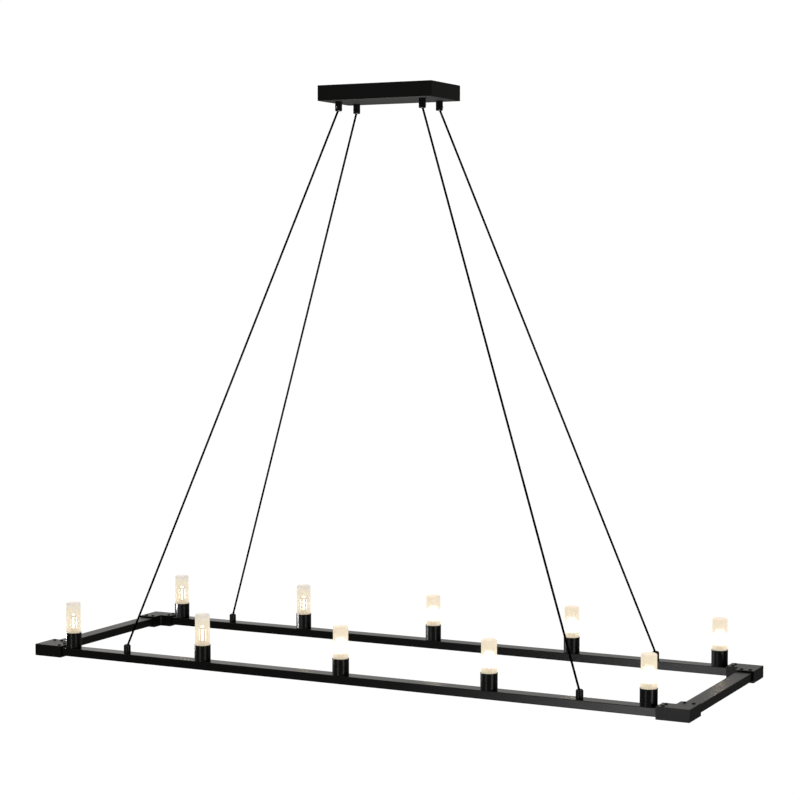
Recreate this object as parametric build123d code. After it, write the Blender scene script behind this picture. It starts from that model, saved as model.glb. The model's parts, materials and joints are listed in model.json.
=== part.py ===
from build123d import *
import math
import os

# Linear island pendant: a flat canopy, four slanting cables and a level
# rectangular frame that carries upright lamps in two rows along its long sides.
# Millimetres. The origin is the centre of the canopy's ceiling face. +Z is up,
# +X runs along the length and -Y is the near side.

# ---------------------------------------------------------------- layout
frame_length = 1380.0           # outside the corner brackets
frame_width = 438.0             # outside the corner brackets
hang_height = 1112.0            # ceiling to the top of the bars
lamps_per_row = 5
lamp_inset = 81.0               # end of the frame to the first lamp
cable_reach = 480.0             # middle of the frame to each ferrule, along X
grip_reach_x = 90.0             # middle of the canopy to each cable grip
grip_reach_y = 37.5

# ---------------------------------------------------------------- clearances
thread_gap = 0.05               # radial, a screw or stem in its hole
sheet_gap = 0.2                 # strap tabs inside the canopy walls
bar_fit = 0.1                   # bars in the bracket pockets, each side
running_gap = 0.3               # pieces that come apart by hand, each side

# ---------------------------------------------------------------- canopy
canopy_length = 244.0
canopy_width = 130.0
canopy_height = 30.0
canopy_sheet = 1.5
canopy_corner_radius = 2.0
canopy_edge_radius = 1.0

# ---------------------------------------------------------------- ceiling strap
strap_width = 25.0
strap_sheet = 1.5
strap_tab_height = 16.0
strap_bend_radius = 2.0
box_screw_spacing = 88.9        # ceiling box screws, hole to hole
box_slot_length = 14.0
box_slot_radius = 2.5
wire_hole_radius = 6.5
side_screw_depth = 9.0          # ceiling to the side screws
side_screw_radius = 2.0
side_screw_head_radius = 3.6
side_screw_head_height = 1.5
side_screw_length = 7.0
stud_radius = 2.5               # locating stud at the other end of the strap
stud_pocket_depth = 0.9

# ---------------------------------------------------------------- terminal block
block_centre_x = 85.0
block_length = 30.0
block_width = 20.0
block_height = 13.0
block_hole_depth = 7.0
block_screw_x = 78.0
earth_screw_x = -85.0
small_screw_radius = 1.5
small_screw_head_radius = 3.0
small_screw_head_height = 1.8

# ---------------------------------------------------------------- cables and grips
cable_radius = 2.1
cable_bore_gap = 0.2
grip_radius = 6.9
grip_height = 19.0
grip_foot_radius = 2.0
stem_radius = 5.0
stem_rise = 7.0                 # stem above the canopy sheet
nut_across_flats = 14.0
nut_thickness = 3.0
mouth_depth = 3.7               # flared mouth where a cable bends away
mouth_radius = 3.9
mouth_throat_radius = 2.6
set_screw_radius = 2.0
set_screw_socket_radius = 1.0
set_screw_socket_depth = 1.2
set_screw_stand_out = 0.6
set_screw_rise = 6.5            # above the foot of the grip
lead_height = 9.0               # ceiling to the leads inside the canopy
lead_bend_radius = 7.0
spare_tail = 5.0                # cable end left above a stem

# ---------------------------------------------------------------- bars
bar_width = 30.0
bar_height = 16.0
bar_wall = 1.5
bar_edge_radius = 0.8

# ---------------------------------------------------------------- corner brackets
bracket_wall = 3.6
bracket_leg = 62.0
bracket_inner_radius = 3.0
bracket_edge_chamfer = 0.6
screw_spacing = 16.6            # the pair across each leg
screw_inset = 10.0              # from the end of the leg
bracket_screw_radius = 2.0
bracket_screw_length = 9.0
bracket_screw_head_radius = 3.3
bracket_screw_head_height = 1.9
bracket_screw_chamfer = 0.7
bracket_screw_socket_radius = 1.2
bracket_screw_socket_depth = 1.0

# ---------------------------------------------------------------- ferrules
ferrule_radius = 6.9
ferrule_height = 16.5
ferrule_cone_height = 2.2
ferrule_top_radius = 5.4
ferrule_stem_radius = 4.0
ferrule_stem_drop = 6.0
ferrule_nut_across_flats = 12.0

# ---------------------------------------------------------------- lamp cups
cup_radius = 15.8
cup_height = 30.8
cup_floor = 3.0
cup_rim_bead = 0.25
cup_rim_height = 1.2
nipple_radius = 5.0
nipple_bore_radius = 3.7
nipple_drop = 6.0               # below the top of the bar
nipple_rise = 3.0               # above the cup floor

# ---------------------------------------------------------------- glass shades
glass_radius = 14.3
glass_wall = 1.6
glass_height = 69.0
glass_seat_depth = 8.0          # foot of the glass below the cup rim
glass_shoulder_radius = 3.2
seat_ring_thickness = 1.0

# ---------------------------------------------------------------- lampholders
holder_radius = 8.5
holder_flat_width = 14.5
holder_height = 18.0
holder_chamber_radius = 3.5
holder_chamber_height = 5.0

# ---------------------------------------------------------------- bulbs
pin_spacing = 9.0
pin_width = 2.3
pin_thickness = 0.9
pin_length = 8.0
pin_tip_radius = 0.4
bulb_base_length = 14.0
bulb_base_width = 8.5
bulb_base_corner = 2.5
bulb_base_height = 10.0
bulb_collar_height = 1.8
bulb_radius = 9.5
bulb_wall = 0.8
bulb_cover_height = 39.0
bulb_dome_radius = 7.5
core_side = 8.0
core_height = 27.0
strip_width = 5.4
strip_thickness = 0.6
strip_height = 23.0
cap_light_radius = 4.5
cap_light_height = 5.0

# ---------------------------------------------------------------- wiring in the bars
wire_radius = 1.5
wire_depth = 11.5               # below the top of the bar
wire_rise = 4.0                 # above the end of the nipple

# ---------------------------------------------------------------- worked out
MIN_Z = (Align.CENTER, Align.CENTER, Align.MIN)
MAX_Z = (Align.CENTER, Align.CENTER, Align.MAX)
ACROSS_X = Rot(0, 90, 0)
ALONG_Y = Rot(90, 0, 0)

row_y = frame_width / 2 - bracket_wall - bar_width / 2
end_x = frame_length / 2 - bracket_wall - bar_width / 2
bar_top = -hang_height
canopy_floor = -canopy_height + canopy_sheet
grip_foot = -canopy_height - grip_height
cable_top = grip_foot + mouth_depth
cable_foot = bar_top + ferrule_height - mouth_depth
glass_foot = cup_height - glass_seat_depth
glass_bore_radius = glass_radius - glass_wall
cup_bore_radius = glass_radius + running_gap
ledge_radius = glass_bore_radius + running_gap
holder_top = cup_floor + holder_height
lamp_first_x = lamp_inset - frame_length / 2
lamp_pitch = -2 * lamp_first_x / (lamps_per_row - 1)
SIDES = ((-1, -1), (1, -1), (-1, 1), (1, 1))
SET_SCREW_TURNS = (-90.0, 0.0, 90.0, 0.0)     # which way each set screw faces
STRIP_COUNT = 6                 # sides of a bulb's core, with a light strip on each


def save(name, shapes):
    """Write one node: a single solid, or a group of separate solids."""
    group = shapes[0] if len(shapes) == 1 else Compound(children=list(shapes))
    export_step(group, f"parts/{name}.step")


def hex_nut(across_flats, thickness, bore_radius):
    outline = RegularPolygon(across_flats / 2, 6, major_radius=False)
    return extrude(outline - Circle(bore_radius), thickness)


def cap_screw(radius, length, head_radius, head_height, edge, socket_radius, socket_depth):
    """Screw with its head's underside at z = 0 and its shank below."""
    head = Cylinder(head_radius, head_height, align=MIN_Z)
    head = chamfer(head.edges().sort_by(Axis.Z)[-1], edge)
    shank = Cylinder(radius, length, align=MAX_Z)
    socket = extrude(RegularPolygon(socket_radius, 6), -socket_depth)
    return head + shank - Pos(0, 0, head_height) * socket


def flared_mouth():
    """Trumpet cut whose wide end lies at z = 0 and whose throat is above it."""
    return Cone(mouth_radius, mouth_throat_radius, mouth_depth, align=MIN_Z)


# ---------------------------------------------------------------- canopy group
def canopy():
    shell = Box(canopy_length, canopy_width, canopy_height, align=MAX_Z)
    shell = fillet(shell.edges().filter_by(Axis.Z), canopy_corner_radius)
    shell = fillet(shell.faces().sort_by(Axis.Z)[0].edges(), canopy_edge_radius)
    hollow = Box(
        canopy_length - 2 * canopy_sheet,
        canopy_width - 2 * canopy_sheet,
        canopy_height - canopy_sheet,
        align=MAX_Z,
    )
    hollow = fillet(hollow.edges().filter_by(Axis.Z), canopy_corner_radius - canopy_sheet / 2)
    shell -= hollow
    for side_x, side_y in SIDES:
        hole = Cylinder(stem_radius + thread_gap, canopy_height, align=MAX_Z)
        shell -= Pos(side_x * grip_reach_x, side_y * grip_reach_y, -canopy_sheet) * hole
    hole = ACROSS_X * Cylinder(side_screw_radius + thread_gap, 4 * canopy_sheet)
    shell -= Pos(-canopy_length / 2, 0, -side_screw_depth) * hole
    pocket = ACROSS_X * Cylinder(stud_radius + thread_gap, stud_pocket_depth, align=MIN_Z)
    return shell - Pos(canopy_length / 2 - canopy_sheet, 0, -side_screw_depth) * pocket


def ceiling_strap():
    """Folded strap: flat on the ceiling, with a tab down each end of the canopy.

    The left tab takes the side screw. The right one has a stud that the canopy
    hooks on to, in a pocket that stops short of its outer face.
    """
    half = canopy_length / 2 - canopy_sheet - sheet_gap
    outline = Plane.XZ * Polyline(
        (-half, -strap_tab_height), (-half, 0), (half, 0), (half, -strap_tab_height),
        (half - strap_sheet, -strap_tab_height), (half - strap_sheet, -strap_sheet),
        (strap_sheet - half, -strap_sheet), (strap_sheet - half, -strap_tab_height),
        close=True,
    )
    strap = extrude(make_face(outline), strap_width / 2, both=True)
    bends = strap.edges().filter_by(Axis.Y).group_by(Axis.Z)[-1]
    strap = fillet(bends, strap_bend_radius)
    cutter_height = 4 * strap_sheet
    for side in (-1, 1):
        slot = extrude(SlotOverall(box_slot_length, 2 * box_slot_radius), cutter_height, both=True)
        strap -= Pos(side * box_screw_spacing / 2, 0, 0) * slot
    hole = ACROSS_X * Cylinder(side_screw_radius + thread_gap, cutter_height)
    strap -= Pos(-half, 0, -side_screw_depth) * hole
    stud_length = sheet_gap + stud_pocket_depth - thread_gap
    stud = ACROSS_X * Cylinder(stud_radius, stud_length, align=MIN_Z)
    strap += Pos(half, 0, -side_screw_depth) * stud
    strap -= Cylinder(wire_hole_radius, cutter_height)
    for x in (block_screw_x, earth_screw_x):
        strap -= Pos(x, 0, 0) * Cylinder(small_screw_radius + thread_gap, cutter_height)
    return strap


def side_screw():
    screw = cap_screw(
        side_screw_radius, side_screw_length, side_screw_head_radius,
        side_screw_head_height, side_screw_head_height / 2,
        side_screw_radius / 2, side_screw_head_height / 2,
    )
    return Pos(-canopy_length / 2, 0, -side_screw_depth) * Rot(0, -90, 0) * screw


def terminal_block():
    block = Pos(block_centre_x, 0, -strap_sheet) * Box(
        block_length, block_width, block_height, align=MAX_Z
    )
    bore = Cylinder(cable_radius + cable_bore_gap, 2 * block_hole_depth)
    block -= Pos(block_centre_x - block_length / 2, 0, -lead_height) * ACROSS_X * bore
    block -= Pos(grip_reach_x, -block_width / 2, -lead_height) * ALONG_Y * bore
    tap = Cylinder(small_screw_radius + thread_gap, 2 * small_screw_head_height)
    return block - Pos(block_screw_x, 0, -strap_sheet) * tap


def strap_screws():
    """Block screw from above the strap, and the earth screw from below it."""
    down = Cylinder(small_screw_radius, strap_sheet + small_screw_head_height, align=MAX_Z)
    head = Cylinder(small_screw_head_radius, small_screw_head_height, align=MAX_Z)
    shank = Cylinder(small_screw_radius, strap_sheet, align=MIN_Z)
    block_screw = Pos(block_screw_x, 0, 0) * down
    earth_screw = Pos(earth_screw_x, 0, -strap_sheet) * (head + shank)
    return [block_screw, earth_screw]


def cable_grip():
    """Drilled grip: foot at z = 0, threaded stem on top, set screw facing +X."""
    body = Cylinder(grip_radius, grip_height, align=MIN_Z)
    body = fillet(body.edges().sort_by(Axis.Z)[0], grip_foot_radius)
    stem = Cylinder(stem_radius, canopy_sheet + stem_rise, align=MIN_Z)
    body += Pos(0, 0, grip_height) * stem
    full_height = grip_height + canopy_sheet + stem_rise
    body -= Cylinder(cable_radius + cable_bore_gap, full_height, align=MIN_Z)
    body -= flared_mouth()
    tapped = Cylinder(set_screw_radius + thread_gap, 2 * grip_radius, align=MIN_Z)
    return body - Pos(0, 0, set_screw_rise) * ACROSS_X * tapped


def set_screw():
    """Set screw along +X, its tip bearing on the cable."""
    tip = cable_radius + thread_gap
    length = grip_radius + set_screw_stand_out - tip
    screw = Cylinder(set_screw_radius, length, align=MIN_Z)
    socket = extrude(RegularPolygon(set_screw_socket_radius, 6), set_screw_socket_depth)
    screw -= Pos(0, 0, length - set_screw_socket_depth) * socket
    return Pos(0, 0, set_screw_rise) * ACROSS_X * Pos(0, 0, tip) * screw


def grip_places():
    return [Pos(sx * grip_reach_x, sy * grip_reach_y, grip_foot) for sx, sy in SIDES]


def on_turned_grips(shape):
    """The shape at each grip, turned the way that its set screw faces."""
    return [place * Rot(0, 0, turn) * shape for place, turn in zip(grip_places(), SET_SCREW_TURNS)]


def cable_tails():
    """Cable ends above the grips: two run to the terminal block, two stop short."""
    stem_top = canopy_floor + stem_rise
    left_end = block_centre_x - block_length / 2
    shared = (0, 0, 1)
    left = FilletPolyline(
        (-grip_reach_x, -grip_reach_y, cable_top),
        (-grip_reach_x, -grip_reach_y, -lead_height),
        (left_end - 3 * lead_bend_radius, 0, -lead_height),
        (left_end + block_hole_depth, 0, -lead_height),
        radius=lead_bend_radius,
    )
    right = FilletPolyline(
        (grip_reach_x, -grip_reach_y, cable_top),
        (grip_reach_x, -grip_reach_y, -lead_height),
        (grip_reach_x, -block_width / 2 + block_hole_depth, -lead_height),
        radius=lead_bend_radius,
    )
    tails = []
    for route in (left, right):
        section = Plane(origin=route @ 0, z_dir=shared) * Circle(cable_radius)
        tails.append(sweep(section, path=route))
    spare = Cylinder(cable_radius, stem_top + spare_tail - cable_top, align=MIN_Z)
    for side in (-1, 1):
        tails.append(Pos(side * grip_reach_x, grip_reach_y, cable_top) * spare)
    return tails


def cable(side_x, side_y):
    """Straight taut stretch from a grip's throat to a ferrule's throat."""
    top = Vector(side_x * grip_reach_x, side_y * grip_reach_y, cable_top)
    foot = Vector(side_x * cable_reach, side_y * row_y, cable_foot)
    run = foot - top
    overrun = 4 * cable_radius
    start = top - run.normalized() * overrun
    rod = Cylinder(cable_radius, run.length + 2 * overrun, align=MIN_Z)
    rod = Plane(origin=start, z_dir=run) * rod
    slab = Pos(0, 0, cable_foot) * Box(
        frame_length, frame_width, cable_top - cable_foot, align=MIN_Z
    )
    return rod & slab


# ---------------------------------------------------------------- frame
def lamp_x(index):
    return lamp_first_x + index * lamp_pitch


def hollow_bar(length, along):
    """Rectangular tube centred on the origin, its top face at z = 0."""
    section = RectangleRounded(bar_width, bar_height, bar_edge_radius)
    section -= Rectangle(bar_width - 2 * bar_wall, bar_height - 2 * bar_wall)
    tube = extrude(Plane.YZ * section, length / 2, both=True)
    return Pos(0, 0, -bar_height / 2) * Rot(0, 0, along) * tube


def bar_screw_holes(bar, places):
    tapped = Cylinder(bracket_screw_radius + thread_gap, 3 * bar_wall)
    for x, y in places:
        bar -= Pos(x, y, 0) * tapped
    return bar


def leg_pairs():
    """Screw centres of one corner, on the +X +Y bracket: the X leg, then the Y leg."""
    leg_x = frame_length / 2 - bracket_leg + screw_inset
    leg_y = frame_width / 2 - bracket_leg + screw_inset
    half = screw_spacing / 2
    on_long = [(leg_x, row_y - half), (leg_x, row_y + half)]
    on_short = [(end_x - half, leg_y), (end_x + half, leg_y)]
    return on_long, on_short


def long_bar(side_y):
    bar = hollow_bar(frame_length - 2 * bracket_wall - 2 * bar_fit, 0)
    nipple_hole = Cylinder(nipple_radius + thread_gap, 3 * bar_wall)
    for index in range(lamps_per_row):
        bar -= Pos(lamp_x(index), 0, 0) * nipple_hole
    ferrule_hole = Cylinder(ferrule_stem_radius + thread_gap, 3 * bar_wall)
    for side_x in (-1, 1):
        bar -= Pos(side_x * cable_reach, 0, 0) * ferrule_hole
    on_long, _ = leg_pairs()
    places = [(side_x * x, y - row_y) for side_x in (-1, 1) for x, y in on_long]
    return Pos(0, side_y * row_y, bar_top) * bar_screw_holes(bar, places)


def short_bar(side_x):
    bar = hollow_bar(2 * row_y - bar_width - 2 * bar_fit, 90)
    _, on_short = leg_pairs()
    places = [(x - end_x, side_y * y) for side_y in (-1, 1) for x, y in on_short]
    return Pos(side_x * end_x, 0, bar_top) * bar_screw_holes(bar, places)


def corner_bracket():
    """L-shaped housing over the +X +Y corner, with a pocket for each bar."""
    corner_x = frame_length / 2
    corner_y = frame_width / 2
    arm = bar_width + 2 * bracket_wall
    outline = Polyline(
        (corner_x, corner_y), (corner_x - bracket_leg, corner_y),
        (corner_x - bracket_leg, corner_y - arm), (corner_x - arm, corner_y - arm),
        (corner_x - arm, corner_y - bracket_leg), (corner_x, corner_y - bracket_leg),
        close=True,
    )
    height = bar_height + 2 * bracket_wall
    body = extrude(make_face(outline), height)
    inner = body.edges().filter_by(Axis.Z).sort_by_distance((corner_x - arm, corner_y - arm, height / 2))[0]
    body = fillet(inner, bracket_inner_radius)
    body = chamfer(body.faces().sort_by(Axis.Z)[-1].edges(), bracket_edge_chamfer)
    body = chamfer(body.faces().sort_by(Axis.Z)[0].edges(), bracket_edge_chamfer)
    pocket_width = bar_width + 2 * bar_fit
    pocket_height = bar_height + 2 * bar_fit
    pocket_x = Box(bracket_leg, pocket_width, pocket_height, align=(Align.MAX, Align.CENTER, Align.CENTER))
    pocket_y = Box(pocket_width, bracket_leg, pocket_height, align=(Align.CENTER, Align.MAX, Align.CENTER))
    body -= Pos(corner_x - bracket_wall, row_y, height / 2) * pocket_x
    body -= Pos(end_x, corner_y - bracket_wall, height / 2) * pocket_y
    on_long, on_short = leg_pairs()
    clearance_hole = Cylinder(bracket_screw_radius + 2 * thread_gap, 3 * bracket_wall)
    for x, y in on_long + on_short:
        body -= Pos(x, y, height) * clearance_hole
    return Pos(0, 0, bar_top - bar_height - bracket_wall) * body


def on_four_corners(shape):
    """The shape of the +X +Y corner at all four, in the order of SIDES."""
    placed = []
    for side_x, side_y in SIDES:
        copy = mirror(shape, about=Plane.YZ) if side_x < 0 else shape
        placed.append(mirror(copy, about=Plane.XZ) if side_y < 0 else copy)
    return placed


def corner_screws():
    screw = cap_screw(
        bracket_screw_radius, bracket_screw_length, bracket_screw_head_radius,
        bracket_screw_head_height, bracket_screw_chamfer,
        bracket_screw_socket_radius, bracket_screw_socket_depth,
    )
    on_long, on_short = leg_pairs()
    group = []
    for x, y in on_long + on_short:
        group += on_four_corners(Pos(x, y, bar_top + bracket_wall) * screw)
    return group


def ferrule():
    """Turned ferrule: seat at z = 0, conical top, stem down through the bar."""
    shoulder = ferrule_height - ferrule_cone_height
    body = Cylinder(ferrule_radius, shoulder, align=MIN_Z)
    cone = Cone(ferrule_radius, ferrule_top_radius, ferrule_cone_height, align=MIN_Z)
    body += Pos(0, 0, shoulder) * cone
    body += Cylinder(ferrule_stem_radius, ferrule_stem_drop, align=MAX_Z)
    bore = Cylinder(cable_radius + cable_bore_gap, 4 * ferrule_height)
    return body - bore - Pos(0, 0, ferrule_height) * Rot(180, 0, 0) * flared_mouth()


def ferrule_places():
    return [Pos(sx * cable_reach, sy * row_y, bar_top) for sx, sy in SIDES]


def bar_wiring(side_y):
    """A run along the bar, a riser to each lamp and a cable end in two ferrules."""
    run_length = 2 * (max(cable_reach, -lamp_first_x) + cable_radius)
    run = Pos(0, 0, -wire_depth) * ACROSS_X * Cylinder(wire_radius, run_length)
    riser_top = cup_floor + nipple_rise + wire_rise
    riser = Cylinder(wire_radius, riser_top + wire_depth, align=MIN_Z)
    tail_top = ferrule_height - mouth_depth - running_gap
    tail = Cylinder(cable_radius, tail_top + wire_depth, align=MIN_Z)
    wires = [Pos(lamp_x(index), 0, -wire_depth) * riser - run for index in range(lamps_per_row)]
    wires += [Pos(side_x * cable_reach, 0, -wire_depth) * tail - run for side_x in (-1, 1)]
    return [Pos(0, side_y * row_y, bar_top) * wire for wire in [run] + wires]


# ---------------------------------------------------------------- lamps
def at_lamps(shape):
    """Copies of a lamp piece, built on the bar's top at the origin."""
    rows = (-row_y, row_y)
    return [Pos(lamp_x(i), y, bar_top) * shape for y in rows for i in range(lamps_per_row)]


def lamp_cup():
    body = Cylinder(cup_radius, cup_height, align=MIN_Z)
    bead = Cylinder(cup_radius + cup_rim_bead, cup_rim_height, align=MAX_Z)
    body += Pos(0, 0, cup_height) * bead
    ledge = glass_foot - seat_ring_thickness
    body -= Pos(0, 0, ledge) * Cylinder(cup_bore_radius, cup_height, align=MIN_Z)
    body -= Pos(0, 0, cup_floor) * Cylinder(ledge_radius, cup_height, align=MIN_Z)
    return body - Cylinder(nipple_radius + thread_gap, 3 * cup_floor)


def nipple():
    length = nipple_drop + cup_floor + nipple_rise
    tube = extrude(Circle(nipple_radius) - Circle(nipple_bore_radius), length)
    return Pos(0, 0, -nipple_drop) * tube


def seat_ring():
    ring = extrude(Circle(cup_bore_radius) - Circle(ledge_radius), seat_ring_thickness)
    return Pos(0, 0, glass_foot - seat_ring_thickness) * ring


def lampholder():
    """Two-slot holder with flats, screwed down over the nipple."""
    body = Cylinder(holder_radius, holder_height, align=MIN_Z)
    body &= Box(2 * holder_radius, holder_flat_width, holder_height, align=MIN_Z)
    body -= Cylinder(nipple_radius + thread_gap, 2 * (nipple_rise + thread_gap))
    chamber = Cylinder(holder_chamber_radius, holder_chamber_height, align=MIN_Z)
    body -= Pos(0, 0, nipple_rise) * chamber
    slot = Box(
        pin_width + 2 * running_gap, pin_thickness + 2 * running_gap,
        pin_length + running_gap, align=MAX_Z,
    )
    for side in (-1, 1):
        body -= Pos(side * pin_spacing / 2, 0, holder_height) * slot
    return Pos(0, 0, cup_floor) * body


def shade():
    """Glass tube with an open foot and a closed top with a rounded shoulder."""
    outer = Cylinder(glass_radius, glass_height, align=MIN_Z)
    outer = fillet(outer.edges().sort_by(Axis.Z)[-1], glass_shoulder_radius)
    inner = Cylinder(glass_bore_radius, glass_height - glass_wall, align=MIN_Z)
    inner = fillet(inner.edges().sort_by(Axis.Z)[-1], glass_shoulder_radius - glass_wall)
    return Pos(0, 0, glass_foot) * (outer - inner)


def bulb():
    """Two-pin lamp: base, collar, pins, six-sided core with light strips, clear cover."""
    base = extrude(RectangleRounded(bulb_base_length, bulb_base_width, bulb_base_corner), bulb_base_height)
    collar = Pos(0, 0, bulb_base_height) * Cylinder(bulb_radius, bulb_collar_height, align=MIN_Z)
    pin = Box(pin_width, pin_thickness, pin_length, align=MAX_Z)
    pin = chamfer(pin.faces().sort_by(Axis.Z)[0].edges(), pin_tip_radius)
    pins = [Pos(side * pin_spacing / 2, 0, 0) * pin for side in (-1, 1)]
    floor = bulb_base_height + bulb_collar_height
    half_step = 180 / STRIP_COUNT
    core_section = RegularPolygon(core_side, STRIP_COUNT, rotation=half_step)
    core = Pos(0, 0, floor) * extrude(core_section, core_height)
    apothem = core_side * math.cos(math.radians(half_step))
    strip = Box(strip_thickness, strip_width, strip_height, align=(Align.MIN, Align.CENTER, Align.CENTER))
    middle = floor + core_height / 2
    strips = [Rot(0, 0, 2 * half_step * n) * Pos(apothem, 0, middle) * strip for n in range(STRIP_COUNT)]
    cap_light = Cylinder(cap_light_radius, cap_light_height, align=MIN_Z)
    cap_light = Pos(0, 0, floor + core_height) * cap_light
    outer = Cylinder(bulb_radius, bulb_cover_height, align=MIN_Z)
    outer = fillet(outer.edges().sort_by(Axis.Z)[-1], bulb_dome_radius)
    inner = Cylinder(bulb_radius - bulb_wall, bulb_cover_height - bulb_wall, align=MIN_Z)
    inner = fillet(inner.edges().sort_by(Axis.Z)[-1], bulb_dome_radius - bulb_wall)
    cover = Pos(0, 0, floor) * (outer - inner)
    pieces = [base, collar, core, cap_light, cover] + pins + strips
    return [Pos(0, 0, holder_top) * piece for piece in pieces]


# ---------------------------------------------------------------- write the nodes
os.makedirs("parts", exist_ok=True)

save("canopy", [canopy()])
save("ceiling_strap", [ceiling_strap()])
save("canopy_side_screw", [side_screw()])
save("terminal_block", [terminal_block()])
save("strap_screws", strap_screws())
save("cable_grips", on_turned_grips(cable_grip()))
save("grip_set_screws", on_turned_grips(set_screw()))
grip_nut = hex_nut(nut_across_flats, nut_thickness, stem_radius + thread_gap)
grip_nut = Pos(0, 0, grip_height + canopy_sheet) * grip_nut
save("grip_nuts", [place * grip_nut for place in grip_places()])
save("cable_tails", cable_tails())
for number, (side_x, side_y) in enumerate(SIDES, start=1):
    save(f"cable_{number}", [cable(side_x, side_y)])

for name, side in (("near", -1), ("far", 1)):
    save(f"long_bar_{name}", [long_bar(side)])
    save(f"bar_wiring_{name}", bar_wiring(side))
for name, side in (("left", -1), ("right", 1)):
    save(f"short_bar_{name}", [short_bar(side)])
for number, bracket in enumerate(on_four_corners(corner_bracket()), start=1):
    save(f"corner_bracket_{number}", [bracket])
save("corner_screws", corner_screws())
save("ferrules", [place * ferrule() for place in ferrule_places()])
ferrule_nut = hex_nut(ferrule_nut_across_flats, nut_thickness, ferrule_stem_radius + thread_gap)
ferrule_nut = Pos(0, 0, -bar_wall - nut_thickness) * ferrule_nut
save("ferrule_nuts", [place * ferrule_nut for place in ferrule_places()])

save("nipples", at_lamps(nipple()))
nipple_nut = hex_nut(nut_across_flats, nut_thickness, nipple_radius + thread_gap)
save("nipple_nuts", at_lamps(Pos(0, 0, -bar_wall - nut_thickness) * nipple_nut))
save("seat_rings", at_lamps(seat_ring()))
save("lampholders", at_lamps(lampholder()))
for number, cup in enumerate(at_lamps(lamp_cup()), start=1):
    save(f"lamp_cup_{number:02d}", [cup])
for number, glass in enumerate(at_lamps(shade()), start=1):
    save(f"shade_{number:02d}", [glass])
bulb_pieces = [at_lamps(piece) for piece in bulb()]
for number, pieces in enumerate(zip(*bulb_pieces), start=1):
    save(f"bulb_{number:02d}", list(pieces))
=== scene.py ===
import json
import math

import bmesh
import bpy
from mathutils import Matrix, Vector

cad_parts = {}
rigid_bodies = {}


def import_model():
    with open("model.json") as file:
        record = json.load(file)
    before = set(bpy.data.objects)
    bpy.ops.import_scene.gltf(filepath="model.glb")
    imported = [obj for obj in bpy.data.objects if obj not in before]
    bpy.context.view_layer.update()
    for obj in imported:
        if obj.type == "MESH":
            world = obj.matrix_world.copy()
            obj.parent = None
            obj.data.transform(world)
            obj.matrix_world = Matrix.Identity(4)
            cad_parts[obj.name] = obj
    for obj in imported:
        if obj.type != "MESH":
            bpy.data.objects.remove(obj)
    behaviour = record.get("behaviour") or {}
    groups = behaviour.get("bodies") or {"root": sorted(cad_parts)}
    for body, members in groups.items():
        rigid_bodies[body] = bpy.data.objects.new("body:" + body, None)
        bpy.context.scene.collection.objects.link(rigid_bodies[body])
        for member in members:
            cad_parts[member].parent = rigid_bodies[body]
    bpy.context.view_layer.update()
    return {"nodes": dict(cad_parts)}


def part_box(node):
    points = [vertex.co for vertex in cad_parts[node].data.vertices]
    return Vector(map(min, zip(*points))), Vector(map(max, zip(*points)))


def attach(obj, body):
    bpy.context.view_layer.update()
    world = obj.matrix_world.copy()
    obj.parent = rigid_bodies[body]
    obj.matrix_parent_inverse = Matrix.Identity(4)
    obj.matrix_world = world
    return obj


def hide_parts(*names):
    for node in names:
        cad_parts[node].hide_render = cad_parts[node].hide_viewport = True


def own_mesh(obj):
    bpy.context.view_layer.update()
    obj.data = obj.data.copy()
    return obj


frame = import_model()

# Everything is in metres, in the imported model's frame: the origin is the centre
# of the canopy's ceiling face, +X runs along the pendant and -Y is the near side.

# ---------------------------------------------------------------- sizes
LAMPS = 10
SOFT_LAMPS = (1, 2, 6, 7)       # the lamps whose light bars can be told apart
SEGMENTS = 64
SHARP_ANGLE = 35.0              # degrees: edges over this stay sharp
TUBE_SHARP_ANGLE = 50.0
TINY = 1e-7
MM = 0.001

CUP_RADIUS = 15.8 * MM
CUP_BEAD = 0.25 * MM
CUP_RIM_HEIGHT = 1.2 * MM
CUP_HEIGHT = 30.8 * MM
CUP_FLOOR = 3.0 * MM
CUP_BORE = 14.6 * MM
CUP_LEDGE = 13.0 * MM
CUP_LEDGE_HEIGHT = 21.8 * MM
CUP_HOLE = 5.05 * MM
CUP_FOOT_ROUND = 0.4 * MM
CUP_EDGE_ROUND = 0.1 * MM
CUP_RIM_ROUND = 0.3 * MM
CUP_LIP_ROUND = 0.2 * MM
CUP_WELL_ROUND = 1.0 * MM

GLASS_RADIUS = 14.3 * MM
GLASS_WALL = 1.6 * MM
GLASS_HEIGHT = 69.0 * MM
GLASS_FOOT = 22.8 * MM
GLASS_SHOULDER = 3.2 * MM
GLASS_LIP_SHARE = 0.45          # of the wall, rounded on each side of the foot
GLASS_STEPS = 7

HOLDER_TOP = 21.0 * MM
BULB_RADIUS = 9.5 * MM
BULB_WALL = 0.8 * MM
BULB_DOME = 7.5 * MM
BULB_FOOT_ROUND = 0.2 * MM
BULB_STEPS = 9
BASE_LENGTH = 14.0 * MM
BASE_WIDTH = 8.5 * MM
BASE_HEIGHT = 10.0 * MM
BASE_CORNER = 2.5 * MM
BASE_STEPS = 6
BASE_BEVEL = 0.4 * MM
COLLAR_HEIGHT = 1.8 * MM
COLLAR_FOOT_ROUND = 0.6 * MM
COLLAR_TOP_ROUND = 0.3 * MM
COVER_HEIGHT = 39.0 * MM
CORE_FACES = 6
CORE_TURN = 360.0 / CORE_FACES  # degrees from one face to the next
CORE_SIDE = 8.0 * MM
CORE_HEIGHT = 32.0 * MM
CORE_CORNER = 0.5 * MM
CORE_STEPS = 2
CORE_BEVEL = 0.3 * MM
STRIP_WIDTH = 4.8 * MM
STRIP_THICKNESS = 0.6 * MM
STRIP_HEIGHT = 22.2 * MM
STRIP_LIFT = 7.5 * MM
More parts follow.
